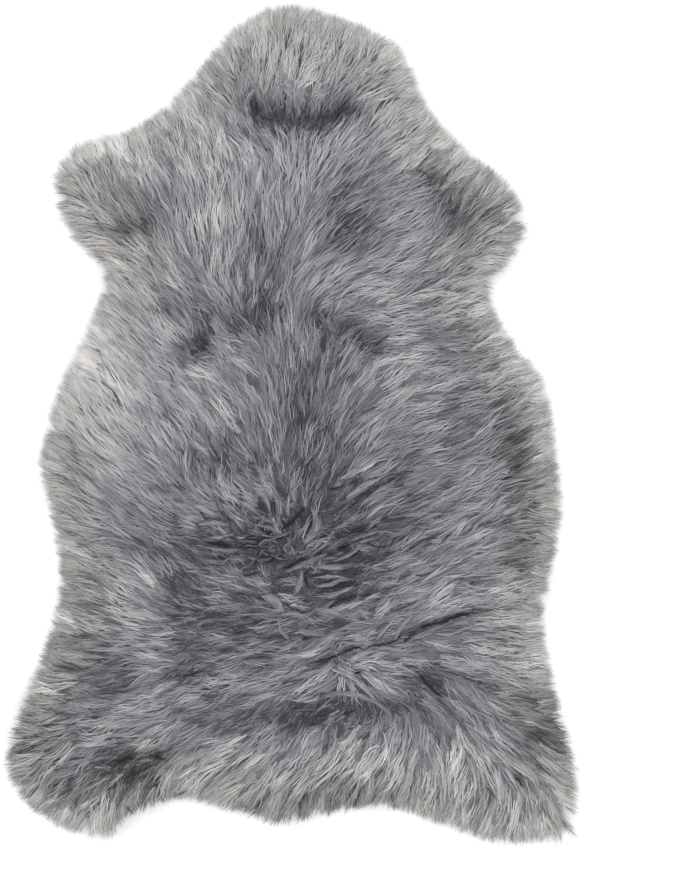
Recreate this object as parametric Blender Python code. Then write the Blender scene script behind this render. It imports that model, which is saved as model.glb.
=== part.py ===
"""Sheepskin rug: one tanned lamb pelt with its long wool on, laid flat with the wool up.

Metres, +Z up. The origin is on the floor, under the middle of the rug's own box. +Y runs to the
neck, +X to the right flank as the rug is seen from above, and the flesh side lies on z = 0.

The pelt is one piece. Its skin is the flat underside, inside a shallow groove that follows the
skin's cut edge. Its wool is a lumpy slab that rolls down past that edge all round, and ends in
separate locks that lie level on the floor.
"""

import math
from collections import namedtuple

import bmesh
import bpy
import numpy as np
from mathutils import Vector, noise
from mathutils.geometry import delaunay_2d_cdt

MM = 0.001

# Driving dimensions.
LENGTH = 0.950  # neck to hind legs, wool tip to wool tip
WIDTH = 0.650  # across the hind legs, wool tip to wool tip
PILE = 0.043  # height of the combed wool over the floor, away from its lumps
OVERHANG = 0.030  # how far the wool reaches past the skin's cut edge

# The line through the locks' tips, clockwise from the neck, as points of one smooth closed curve.
OutlinePoint = namedtuple("OutlinePoint", "place x_mm y_mm")
OUTLINE = (
    OutlinePoint("neck", 6, 475),
    OutlinePoint("neck", 90, 449),
    OutlinePoint("neck corner", 130, 422),
    OutlinePoint("right shoulder", 157, 360),
    OutlinePoint("right shoulder", 196, 317),
    OutlinePoint("right foreleg", 247, 278),
    OutlinePoint("right foreleg", 267, 230),
    OutlinePoint("right foreleg", 256, 191),
    OutlinePoint("right armpit", 227, 148),
    OutlinePoint("right flank", 256, 93),
    OutlinePoint("right flank", 289, 52),
    OutlinePoint("right belly", 303, -23),
    OutlinePoint("right belly", 310, -96),
    OutlinePoint("right belly", 298, -166),
    OutlinePoint("right waist", 289, -215),
    OutlinePoint("right hind leg", 303, -294),
    OutlinePoint("right hind leg", 325, -378),
    OutlinePoint("right hind leg", 325, -429),
    OutlinePoint("right hind leg", 301, -464),
    OutlinePoint("right hind leg", 234, -471),
    OutlinePoint("right hem", 178, -453),
    OutlinePoint("right hem", 104, -431),
    OutlinePoint("tail", 48, -438),
    OutlinePoint("tail", -9, -449),
    OutlinePoint("tail", -59, -437),
    OutlinePoint("left hem", -127, -422),
    OutlinePoint("left hem", -166, -438),
    OutlinePoint("left hind leg", -213, -463),
    OutlinePoint("left hind leg", -276, -448),
    OutlinePoint("left hind leg", -318, -406),
    OutlinePoint("left hind leg", -325, -356),
    OutlinePoint("left hind leg", -305, -299),
    OutlinePoint("left waist", -280, -237),
    OutlinePoint("left waist", -266, -175),
    OutlinePoint("left belly", -277, -93),
    OutlinePoint("left belly", -288, -40),
    OutlinePoint("left flank", -268, 39),
    OutlinePoint("left flank", -234, 112),
    OutlinePoint("left armpit", -215, 166),
    OutlinePoint("left foreleg", -251, 211),
    OutlinePoint("left foreleg", -270, 264),
    OutlinePoint("left foreleg", -248, 315),
    OutlinePoint("left shoulder", -189, 334),
    OutlinePoint("left shoulder", -143, 363),
    OutlinePoint("neck side", -93, 420),
    OutlinePoint("neck side", -53, 458),
)
CURVE_STEPS = 24  # of the fine curve, between two of the outline's points

# Where the wool parts or has been pressed down: a trough from one point to another.
Parting = namedtuple("Parting", "place x0_mm y0_mm x1_mm y1_mm half_width_mm depth_mm")
PARTINGS = (
    Parting("neck", -40, 355, 57, 350, 15, 18),
    Parting("left of the withers", -118, 80, -92, 92, 17, 13),
    Parting("withers", -56, 110, -28, 122, 16, 11),
    Parting("right of the withers", 24, 117, 88, 90, 14, 12),
    Parting("left foreleg", -178, 212, -150, 228, 20, 8),
    Parting("chest", 60, 205, 74, 235, 24, 8),
    Parting("right foreleg", 160, 272, 200, 180, 17, 9),
    Parting("spine", 6, 20, 20, -106, 26, 6),
    Parting("left ribs", -82, -50, -68, -56, 20, 7),
    Parting("left loin", -104, -128, 8, -150, 22, 12),
    Parting("right loin", 54, -116, 66, -196, 24, 12),
    Parting("right ribs", 232, 16, 256, -154, 16, 8),
    Parting("right rump", 96, -242, 202, -214, 11, 14),
    Parting("rump", 6, -326, 146, -308, 17, 12),
    Parting("left hind leg", -212, -388, -144, -372, 18, 13),
)

# The slab's form.
RIM_HEIGHT = 0.003  # of the wool where it ends
ROLL = 0.062  # the width over which the wool comes down to its rim
TUFT = 0.038  # across one tuft
TUFT_RISE = 0.010
SWELL = 0.150  # across one broad swelling
SWELL_RISE = 0.006
LATTICE = 0.0135  # between the points of the slab's top

# The locks round its rim.
LOCKS = 150
WIDTH_SPREAD = 0.35  # of a lock's width, either way
CUT = 0.020  # from a lock's tip back to the notches beside it
CUT_SPREAD = 0.40  # of that depth, either way
LEAN = 0.22  # of its width, by which a tip points aside, either way
FLANK_CUT = 0.55  # of the cut's depth, where a lock is still
FLANK_WIDTH = 0.70  # of its whole width
FLANK_HEIGHT = 0.007
NOTCH_HEIGHT = 0.004
INSET = 0.026  # from the rim to the lock's ridge and to the furrow behind each notch
RIDGE_RISE = 0.004
FURROW_DROP = 0.005
SEED = 7

# The groove along the skin's edge.
GROOVE_WIDTH = 0.002
GROOVE_DEPTH = 0.0015
GROOVE_STEPS = 4  # between two of the outline's points

WOOL_GREY = (0.235, 0.235, 0.245, 1.0)


def clear_scene():
    for obj in list(bpy.data.objects):
        bpy.data.objects.remove(obj, do_unlink=True)


def new_collection(name):
    collection = bpy.data.collections.new(name)
    bpy.context.scene.collection.children.link(collection)
    return collection


def new_material(name, colour, roughness):
    material = bpy.data.materials.new(name)
    material.use_nodes = True
    shader = material.node_tree.nodes["Principled BSDF"]
    shader.inputs["Base Color"].default_value = colour
    shader.inputs["Roughness"].default_value = roughness
    shader.inputs["Metallic"].default_value = 0.0
    return material


def closed_curve(points, steps):
    """Points of the closed Catmull-Rom curve through these, steps to each stretch."""
    before, after, far = (np.roll(points, shift, axis=0) for shift in (1, -1, -2))
    t = (np.arange(steps) / steps)[:, None, None]
    curve = 0.5 * (
        2 * points
        + (after - before) * t
        + (2 * before - 5 * points + 4 * after - far) * t**2
        + (3 * points - before - 3 * after + far) * t**3
    )
    return curve.swapaxes(0, 1).reshape(-1, 2)


def outward_normals(points):
    """The unit normals of a closed clockwise outline."""
    along = np.roll(points, -1, axis=0) - np.roll(points, 1, axis=0)
    along /= np.linalg.norm(along, axis=1)[:, None]
    return np.stack([-along[:, 1], along[:, 0]], axis=1)


def perimeter(curve):
    return np.linalg.norm(np.roll(curve, -1, axis=0) - curve, axis=1).sum()


def places_round(curve, distances):
    """The places and outward normals at these distances round a closed curve."""
    ring = np.vstack([curve, curve[:1]])
    normals = outward_normals(curve)
    normals = np.vstack([normals, normals[:1]])
    run = np.concatenate([[0], np.cumsum(np.linalg.norm(np.diff(ring, axis=0), axis=1))])
    wanted = distances % run[-1]
    places = [np.interp(wanted, run, ring[:, axis]) for axis in (0, 1)]
    outward = [np.interp(wanted, run, normals[:, axis]) for axis in (0, 1)]
    return np.stack(places, axis=-1), np.stack(outward, axis=-1)


def distance_to(loop, points):
    """Each point's distance to a closed polyline."""
    run = np.roll(loop, -1, axis=0) - loop
    share = ((points[:, None] - loop) * run).sum(axis=2) / (run**2).sum(axis=1)
    nearest = loop + share.clip(0, 1)[:, :, None] * run
    return np.linalg.norm(points[:, None] - nearest, axis=2).min(axis=1)


def inside(loop, points):
    """Which points lie inside a closed polyline, by counting the edges to their right."""
    x, y = points[:, 0, None], points[:, 1, None]
    (x0, y0), (x1, y1) = loop.T, np.roll(loop, -1, axis=0).T
    spans = (y0 > y) != (y1 > y)
    crossing = x0 + (y - y0) * (x1 - x0) / np.where(y1 == y0, 1, y1 - y0)
    return (spans & (x < crossing)).sum(axis=1) % 2 == 1


def trough_depth(place):
    """How far the partings press the wool down here."""
    depth = 0.0
    for row in PARTINGS:
        start = Vector((row.x0_mm, row.y0_mm)) * MM
        run = Vector((row.x1_mm, row.y1_mm)) * MM - start
        share = min(max((place - start).dot(run) / run.length_squared, 0.0), 1.0)
        away = (place - start - share * run).length / (row.half_width_mm * MM)
        depth = max(depth, row.depth_mm * MM * math.exp(-(away**2)))
    return depth


def unevenness(place):
    """The wool's own rise and fall: rounded tufts with creases between them, on broad swellings."""
    nearest, second = noise.voronoi((place / TUFT).to_3d())[0][:2]
    tuft = min(second - nearest, 1.0) - 0.5
    return TUFT_RISE * tuft + SWELL_RISE * noise.noise((place / SWELL).to_3d())


def wool_height(x, y, inset):
    """The top of the wool over the floor, inset metres in from the rim."""
    place = Vector((x, y))
    roll = math.sin(math.pi / 2 * min(inset / ROLL, 1.0))
    full = PILE - RIM_HEIGHT + unevenness(place) - trough_depth(place)
    return RIM_HEIGHT + full * roll


def rim_locks(curve):
    """The rim's corners, four to a lock: notch, flank, tip and flank, with their heights.

    Behind them come a ridge for each tip and a furrow for each notch.
    """
    draw = np.random.default_rng(SEED)
    widths = 1 + WIDTH_SPREAD * draw.uniform(-1, 1, LOCKS)
    widths *= perimeter(curve) / widths.sum()
    starts = np.cumsum(widths) - widths
    middles = starts + widths / 2
    cuts = CUT * (1 + CUT_SPREAD * draw.uniform(-1, 1, LOCKS))
    leans = LEAN * widths * draw.uniform(-1, 1, LOCKS)

    tips, _ = places_round(curve, middles + leans)
    notch_places, notch_normals = places_round(curve, starts)
    notches = notch_places - cuts[:, None] * notch_normals
    flanks = []
    for side in (-1, 1):
        places, normals = places_round(curve, middles + side * FLANK_WIDTH / 2 * widths)
        flanks.append(places - FLANK_CUT * cuts[:, None] * normals)
    rim = np.stack([notches, flanks[0], tips, flanks[1]], axis=1).reshape(-1, 2)
    heights = [NOTCH_HEIGHT, FLANK_HEIGHT, RIM_HEIGHT, FLANK_HEIGHT] * LOCKS

    middle_places, middle_normals = places_round(curve, middles)
    ridges = middle_places - INSET * middle_normals
    furrows = notch_places - INSET * notch_normals
    return rim, heights, ridges, furrows


def lattice_inside(curve):
    """Points in staggered rows over the slab, clear of the ridges and furrows of its rim."""
    rows = np.arange(-LENGTH / 2, LENGTH / 2, LATTICE * math.sqrt(3) / 2)
    columns = np.arange(-WIDTH / 2, WIDTH / 2, LATTICE)
    points = np.array([(x + i % 2 * LATTICE / 2, y) for i, y in enumerate(rows) for x in columns])
    points = points[inside(curve, points)]
    return points[distance_to(curve, points) > INSET + 0.7 * LATTICE]


def fitted(points, around):
    """These points, moved and stretched so that the others reach the rug's stated size."""
    low, high = around.min(axis=0), around.max(axis=0)
    return (points - (low + high) / 2) * np.array([WIDTH, LENGTH]) / (high - low)


def pelt_mesh(name):
    """The rim and the points within it, triangulated, and raised to the wool's height."""
    points = np.array([(row.x_mm, row.y_mm) for row in OUTLINE]) * MM
    curve = closed_curve(points, CURVE_STEPS)
    rim, rim_heights, ridges, furrows = rim_locks(curve)
    inner = np.vstack([ridges, furrows, lattice_inside(curve)])
    rises = np.zeros(len(inner))
    rises[: 2 * LOCKS] = [RIDGE_RISE] * LOCKS + [-FURROW_DROP] * LOCKS
    insets = distance_to(curve, inner)
    inner_heights = [wool_height(x, y, inset) for (x, y), inset in zip(inner, insets)] + rises
    heights = np.concatenate([rim_heights, inner_heights])

    plan = [Vector(place) for place in fitted(np.vstack([rim, inner]), rim)]
    loop = list(range(len(rim)))
    places, _, triangles, sources, *_ = delaunay_2d_cdt(plan, [], [loop], 1, 1e-7)
    bm = bmesh.new()
    under = [bm.verts.new((*place, 0.0)) for place in places]
    over = [
        bm.verts.new((*place, heights[source[0]])) for place, source in zip(places, sources)
    ]
    for triangle in triangles:
        bm.faces.new([over[index] for index in triangle])
    bottom = [bm.faces.new([under[index] for index in reversed(tri)]) for tri in triangles]
    open_edges = [edge for edge in bm.edges if edge.is_boundary]
    bmesh.ops.bridge_loops(bm, edges=open_edges)
    bmesh.ops.dissolve_faces(bm, faces=bottom)
    bmesh.ops.recalc_face_normals(bm, faces=bm.faces)
    mesh = bpy.data.meshes.new(name)
    bm.to_mesh(mesh)
    bm.free()
    mesh.shade_smooth()
    mesh.set_sharp_from_angle(angle=math.radians(60))
    return mesh


def skin_edge_cutter(name, collection):
    """The groove's solid: a flat ring that follows the outline, inside it by the overhang."""
    points = np.array([(row.x_mm, row.y_mm) for row in OUTLINE]) * MM
    points = fitted(points, closed_curve(points, CURVE_STEPS))
    data = bpy.data.curves.new(name, "CURVE")
    data.dimensions = "2D"
    data.fill_mode = "BOTH"
    data.extrude = GROOVE_DEPTH
    for inset in (OVERHANG, OVERHANG + GROOVE_WIDTH):
        loop = closed_curve(points - inset * outward_normals(points), GROOVE_STEPS)
        spline = data.splines.new("POLY")
        spline.points.add(len(loop) - 1)
        for point, (x, y) in zip(spline.points, loop):
            point.co = (x, y, 0.0, 1.0)
        spline.use_cyclic_u = True
    ring = bpy.data.objects.new(name, data)
    collection.objects.link(ring)
    bpy.context.view_layer.update()
    evaluated = ring.evaluated_get(bpy.context.evaluated_depsgraph_get())
    mesh = bpy.data.meshes.new_from_object(evaluated)
    matrix = ring.matrix_world.copy()
    bpy.data.objects.remove(ring, do_unlink=True)

    bm = bmesh.new()
    bm.from_mesh(mesh)
    bmesh.ops.remove_doubles(bm, verts=bm.verts, dist=1e-6)
    bmesh.ops.recalc_face_normals(bm, faces=bm.faces)
    bm.to_mesh(mesh)
    bm.free()
    cutter = bpy.data.objects.new(name, mesh)
    cutter.matrix_world = matrix
    cutter.hide_render = True
    cutter.display_type = "WIRE"
    collection.objects.link(cutter)
    return cutter


def build():
    clear_scene()
    pelt = bpy.data.objects.new("pelt", pelt_mesh("pelt"))
    pelt.data.materials.append(new_material("grey_wool", WOOL_GREY, 0.90))
    new_collection("sheepskin_rug").objects.link(pelt)
    groove = pelt.modifiers.new("skin_edge", "BOOLEAN")
    groove.operation = "DIFFERENCE"
    groove.object = skin_edge_cutter("skin_edge", new_collection("cutters"))


build()
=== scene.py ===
"""Sheepskin rug, dressed: the skin's suede side, the dense under-wool, and the long dyed wool over it."""

import math
from collections import namedtuple

import bmesh
import bpy
import numpy as np
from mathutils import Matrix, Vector
from mathutils.bvhtree import BVHTree
from mathutils.kdtree import KDTree


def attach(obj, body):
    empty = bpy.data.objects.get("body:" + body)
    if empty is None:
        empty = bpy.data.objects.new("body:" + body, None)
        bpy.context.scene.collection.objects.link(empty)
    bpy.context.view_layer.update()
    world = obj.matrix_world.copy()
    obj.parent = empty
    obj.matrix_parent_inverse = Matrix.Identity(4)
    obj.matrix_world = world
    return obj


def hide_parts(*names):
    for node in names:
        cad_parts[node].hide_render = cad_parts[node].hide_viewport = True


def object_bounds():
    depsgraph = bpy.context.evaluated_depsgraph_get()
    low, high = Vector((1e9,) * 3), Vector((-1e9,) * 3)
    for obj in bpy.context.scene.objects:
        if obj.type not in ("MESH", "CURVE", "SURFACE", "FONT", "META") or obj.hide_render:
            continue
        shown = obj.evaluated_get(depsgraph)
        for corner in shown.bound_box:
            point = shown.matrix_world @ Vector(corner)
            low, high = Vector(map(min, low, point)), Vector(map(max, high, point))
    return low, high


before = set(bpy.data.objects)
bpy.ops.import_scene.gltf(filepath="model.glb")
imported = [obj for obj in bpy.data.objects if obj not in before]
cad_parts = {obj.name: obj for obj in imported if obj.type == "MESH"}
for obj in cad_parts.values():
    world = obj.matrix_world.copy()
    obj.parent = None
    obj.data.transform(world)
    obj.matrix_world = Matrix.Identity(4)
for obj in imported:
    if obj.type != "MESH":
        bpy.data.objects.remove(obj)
cad_low, cad_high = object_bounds()

# ---------------------------------------------------------------------------------------------
# The skin: one tanned lamb hide, the whole rug's backing. Its flesh side is buffed to a short
# suede nap and lies on the floor; its edge is trimmed with a knife, and nothing is sewn to it.
# ---------------------------------------------------------------------------------------------
SKIN_THICKNESS = 0.0018
SKIN_EDGE_ROUNDING = 0.0005
SKIN_QUILT = 0.018  # the mesh's own pitch, fine enough for the hide's slow waves
SKIN_WAVE = 0.0004
SKIN_WAVES = ((31, 9), (-12, 23))  # the two that cross, in radians to a metre of x and of y
DOUBLE = 1e-6  # the distance under which two vertices are one
LEVEL = 1e-5


def merged_copy(node):
    """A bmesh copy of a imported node, with its loose triangles joined."""
    bm = bmesh.new()
    bm.from_mesh(node.data)
    bmesh.ops.remove_doubles(bm, verts=bm.verts, dist=DOUBLE)
    return bm


def finished_mesh(bm, name):
    mesh = bpy.data.meshes.new(name)
    bm.to_mesh(mesh)
    bm.free()
    return mesh


def placed(data):
    """A new object of this mesh, light or camera and of its name, at the origin."""
    thing = bpy.data.objects.new(data.name, data)
    bpy.context.scene.collection.objects.link(thing)
    return thing


def skin_patch(node):
    """The flat face of the pelt's underside that lies inside the groove along the skin's edge."""
    bm = merged_copy(node)
    flat = {f for f in bm.faces if f.normal.z < -0.99 and abs(f.calc_center_median().z) < LEVEL}
    middle = min(flat, key=lambda f: f.calc_center_median().length)
    patch, frontier = {middle}, [middle]
    while frontier:
        face = frontier.pop()
        near = {other for edge in face.edges for other in edge.link_faces}
        fresh = (near & flat) - patch
        patch |= fresh
        frontier += fresh
    bmesh.ops.delete(bm, geom=[f for f in bm.faces if f not in patch], context="FACES")
    bmesh.ops.dissolve_faces(bm, faces=bm.faces[:])
    return bm


def edge_loop(bm):
    """The places round a flat face, clockwise as seen from above."""
    face = next(iter(bm.faces))
    places = np.array([vert.co.xy[:] for vert in face.verts])
    following = np.roll(places, -1, axis=0)
    turning = (places[:, 0] * following[:, 1] - places[:, 1] * following[:, 0]).sum()
    return places[::-1] if turning > 0 else places


pelt_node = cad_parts["pelt"]
skin_bm = skin_patch(pelt_node)
SKIN_EDGE = edge_loop(skin_bm)
skin_area = sum(face.calc_area() for face in skin_bm.faces)
skin_low, skin_high = SKIN_EDGE.min(axis=0), SKIN_EDGE.max(axis=0)
for axis, normal in enumerate((Vector((1, 0, 0)), Vector((0, 1, 0)))):
    for cut in np.arange(skin_low[axis] + SKIN_QUILT, skin_high[axis], SKIN_QUILT):
        whole = skin_bm.verts[:] + skin_bm.edges[:] + skin_bm.faces[:]
        bmesh.ops.bisect_plane(skin_bm, geom=whole, plane_co=normal * cut, plane_no=normal)
for vert in skin_bm.verts:
    one, other = (math.sin(a * vert.co.x + b * vert.co.y) for a, b in SKIN_WAVES)
    vert.co.z = SKIN_WAVE * (0.5 + 0.5 * one * other)
for face in skin_bm.faces:
    if face.normal.z > 0:
        face.normal_flip()
skin = placed(finished_mesh(skin_bm, "skin"))
skin.data.shade_smooth()
leather = skin.modifiers.new("thickness", "SOLIDIFY")
leather.thickness = SKIN_THICKNESS
leather.offset = -1
rounding = skin.modifiers.new("knife edge", "BEVEL")
rounding.width = SKIN_EDGE_ROUNDING
rounding.segments = 2
rounding.limit_method = "ANGLE"


def new_material(name, roughness):
    material = bpy.data.materials.new(name)
    material.use_nodes = True
    shader = material.node_tree.nodes["Principled BSDF"]
    shader.inputs["Roughness"].default_value = roughness
    return material, material.node_tree, shader


def add_node(tree, kind, **values):
    """A shader node, with its settings and its inputs' values given by name."""
    node = tree.nodes.new(kind)
    for name, value in values.items():
        if name in node.inputs:
            node.inputs[name].default_value = value
        else:
            setattr(node, name, value)
    return node


def noise(tree, place, **values):
    texture = add_node(tree, "ShaderNodeTexNoise", **values)
    tree.links.new(place, texture.inputs["Vector"])
    return texture.outputs["Fac"]


def ramp(tree, factor, stops):
    """The colour at this factor, between stops that are each a position and a colour."""
    node = tree.nodes.new("ShaderNodeValToRGB")
    elements = node.color_ramp.elements
    while len(elements) < len(stops):
        elements.new(0.5)
    for element, (position, colour) in zip(elements, stops):
        element.position = position
        element.color = (*colour, 1.0)
    tree.links.new(factor, node.inputs["Fac"])
    return node.outputs["Color"]


def product(tree, first, second):
    """Two colours multiplied."""
    node = add_node(tree, "ShaderNodeMix", data_type="RGBA", blend_type="MULTIPLY")
    node.inputs["Factor"].default_value = 1.0
    tree.links.new(first, node.inputs["A"])
    tree.links.new(second, node.inputs["B"])
    return node.outputs["Result"]


def bumped(tree, height, strength, distance, finer=None):
    """The normal of a bumpy surface, over a finer relief where there is one."""
    node = add_node(tree, "ShaderNodeBump", Strength=strength, Distance=distance)
    tree.links.new(height, node.inputs["Height"])
    if finer:
        tree.links.new(finer, node.inputs["Normal"])
    return node.outputs["Normal"]


def suede_material():
    """Buffed hide: a mottled buff grey, with a fine nap and faint veins and scuffs."""
    material, tree, shader = new_material("suede", 0.92)
    place = tree.nodes.new("ShaderNodeTexCoord").outputs["Object"]
    mottle = noise(tree, place, Scale=22.0, Detail=6.0, Roughness=0.6)
    blush = noise(tree, place, Scale=4.0, Detail=3.0, Roughness=0.5)
    nap = noise(tree, place, Scale=1400.0, Detail=3.0, Roughness=0.7)
    vein = noise(tree, place, Scale=9.0, Detail=8.0, Roughness=0.7)
    buff = [(0.30, (0.36, 0.32, 0.28)), (0.52, (0.47, 0.43, 0.38)), (0.75, (0.56, 0.52, 0.47))]
    dye = [(0.35, (0.86, 0.87, 0.90)), (0.65, (1.0, 1.0, 1.0))]
    hide = product(tree, ramp(tree, mottle, buff), ramp(tree, blush, dye))
    tree.links.new(hide, shader.inputs["Base Color"])
    surface = bumped(tree, vein, 0.5, 0.002, finer=bumped(tree, nap, 0.35, 0.0004))
    tree.links.new(surface, shader.inputs["Normal"])
    shader.inputs["Sheen Weight"].default_value = 0.3
    return material


skin.data.materials.append(suede_material())
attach(skin, "root")
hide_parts("pelt")

# ---------------------------------------------------------------------------------------------
# The under-wool: the short dense wool next to the skin, matted and dark where the dye took most.
# It fills the pelt under the long wool, and only shows in the partings and between the locks.
# ---------------------------------------------------------------------------------------------
OVERHANG = 0.032  # from the skin's edge out to the tips of the wool
ROLL = 0.062  # the width over which the pelt comes down to its rim
RIM_HEIGHT = 0.003
PILE = 0.043
LOCKS_END = 0.026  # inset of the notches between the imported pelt's locks
LOCKS_FADE = 0.012  # the width over which its own height takes over from the smooth rim's
FIELD_PITCH = 0.006
FIELD_MARGIN = 0.03
UNDER_DEPTH = 0.0078  # from the wool's surface down to the under-wool
UNDER_RETREAT = 0.022  # from the tips of the wool back to the under-wool's own rim
UNDER_SHIFT = 0.4  # of that retreat, further in
UNDER_SHIFT_FULL = 0.03  # inset where all of that shift is reached
UNDER_SHIFT_END = 0.08
UNDER_LIFT = 0.0024  # from the floor up to the under-wool's bottom
UNDER_LOWEST = 0.004
PACKED_BOTTOM = 0.0016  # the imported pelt's underside and its groove lie under this height
STEEP = -0.3  # a face whose normal points further down than this stays flat-shaded


def signed_distance(places):
    """Distance inside the skin's edge, in metres, and negative outside it; and the way outward."""
    distances, outward = [], []
    run = np.roll(SKIN_EDGE, -1, axis=0) - SKIN_EDGE
    for part in np.array_split(places, max(1, len(places) // 4000)):
        share = ((part[:, None] - SKIN_EDGE) * run).sum(axis=2) / (run**2).sum(axis=1)
        nearest = SKIN_EDGE + share.clip(0, 1)[:, :, None] * run
        gap = part[:, None] - nearest
        length = np.linalg.norm(gap, axis=2)
        index = length.argmin(axis=1)
        picked = np.arange(len(part))
        x, y = part[:, 0, None], part[:, 1, None]
        (x0, y0), (x1, y1) = SKIN_EDGE.T, np.roll(SKIN_EDGE, -1, axis=0).T
        spans = (y0 > y) != (y1 > y)
        crossing = x0 + (y - y0) * (x1 - x0) / np.where(y1 == y0, 1, y1 - y0)
        sign = np.where((spans & (x < crossing)).sum(axis=1) % 2 == 1, 1.0, -1.0)
        distances.append(sign * length[picked, index])
        away = -sign[:, None] * gap[picked, index] / (length[picked, index, None] + 1e-9)
        outward.append(away)
    return np.concatenate(distances), np.concatenate(outward)


def roll_height(inset):
    """The pelt's profile near its rim, inset metres in from the tips of its wool."""
    return RIM_HEIGHT + (PILE - RIM_HEIGHT) * np.sin(math.pi / 2 * (inset / ROLL).clip(0, 1))


def height_field(node):
    """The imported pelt's height on a square grid, with its notched rim smoothed over."""
    columns = np.arange(cad_low.x - FIELD_MARGIN, cad_high.x + FIELD_MARGIN, FIELD_PITCH)
    rows = np.arange(cad_low.y - FIELD_MARGIN, cad_high.y + FIELD_MARGIN, FIELD_PITCH)
    bm = merged_copy(node)
    surface = BVHTree.FromBMesh(bm)
    bm.free()
    heights = np.zeros((len(rows), len(columns)))
    for i, y in enumerate(rows):
        for j, x in enumerate(columns):
            hit = surface.ray_cast(Vector((x, y, 1.0)), Vector((0, 0, -1)))[0]
            heights[i, j] = hit.z if hit else 0.0
    grid = np.stack(np.meshgrid(columns, rows), axis=-1).reshape(-1, 2)
    inset = OVERHANG + signed_distance(grid)[0].reshape(heights.shape)
    inner = ((inset - LOCKS_END) / LOCKS_FADE).clip(0, 1)
    heights = heights * inner + roll_height(inset) * (1 - inner)
    return columns, rows, heights


FIELD = height_field(pelt_node)


def wool_surface(places):
    """The height of the wool's surface at these places, read between the grid's points."""
    columns, rows, heights = FIELD
    across = ((places[:, 0] - columns[0]) / FIELD_PITCH).clip(0, len(columns) - 1.001)
    along = ((places[:, 1] - rows[0]) / FIELD_PITCH).clip(0, len(rows) - 1.001)
    j, i = across.astype(int), along.astype(int)
    u, v = across - j, along - i
    low = heights[i, j] * (1 - u) + heights[i, j + 1] * u
    high = heights[i + 1, j] * (1 - u) + heights[i + 1, j + 1] * u
    return low * (1 - v) + high * v


under_bm = merged_copy(pelt_node)
under_places = np.array([vert.co[:] for vert in under_bm.verts])
under_gap, under_outward = signed_distance(under_places[:, :2])
under_inset = OVERHANG + under_gap
for vert, inset, (out_x, out_y) in zip(under_bm.verts, under_inset, under_outward):
    shift = UNDER_RETREAT * UNDER_SHIFT * min(inset / UNDER_SHIFT_FULL, 1.0)
    retreat = (max(0.0, UNDER_RETREAT - inset) + shift) * max(0.0, 1 - inset / UNDER_SHIFT_END)
    at_bottom = vert.co.z < PACKED_BOTTOM
    vert.co.x -= out_x * retreat
    vert.co.y -= out_y * retreat
    vert.co.z = UNDER_LIFT if at_bottom else max(UNDER_LOWEST, vert.co.z - UNDER_DEPTH)
# The bottom is filled anew inside the drawn-in rim, since its long triangles have folded over.
folded = [f for f in under_bm.faces if all(vert.co.z < UNDER_LOWEST - LEVEL for vert in f.verts)]
bmesh.ops.delete(under_bm, geom=folded, context="FACES")
open_rim = [edge for edge in under_bm.edges if edge.is_boundary]
bmesh.ops.triangle_fill(under_bm, edges=open_rim, use_beauty=True)
bmesh.ops.recalc_face_normals(under_bm, faces=under_bm.faces[:])
under_wool = placed(finished_mesh(under_bm, "under_wool"))
for face in under_wool.data.polygons:
    face.use_smooth = face.normal.z > STEEP


def matted_wool_material():
    """Matted wool: dark, with short crossed fibres that catch a little light."""
    material, tree, shader = new_material("matted_wool", 0.95)
    place = tree.nodes.new("ShaderNodeTexCoord").outputs["Object"]
    fibre = noise(tree, place, Scale=340.0, Detail=4.0, Distortion=2.5)
    dark = ramp(tree, fibre, [(0.34, (0.105, 0.105, 0.112)), (0.66, (0.230, 0.230, 0.241))])
    tree.links.new(dark, shader.inputs["Base Color"])
    tree.links.new(bumped(tree, fibre, 0.8, 0.002), shader.inputs["Normal"])
    return material


under_wool.data.materials.append(matted_wool_material())
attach(under_wool, "root")
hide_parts("pelt")

# ---------------------------------------------------------------------------------------------
# The long wool: fine dyed fibres 5 to 7 cm long that hang together in wisps, and the wisps in
# locks. It grows from the skin, has been combed from the middle of the back outwards, and falls
# over the skin's edge. Each strand made here is one wisp of it.
# ---------------------------------------------------------------------------------------------
MM = 0.001

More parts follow.
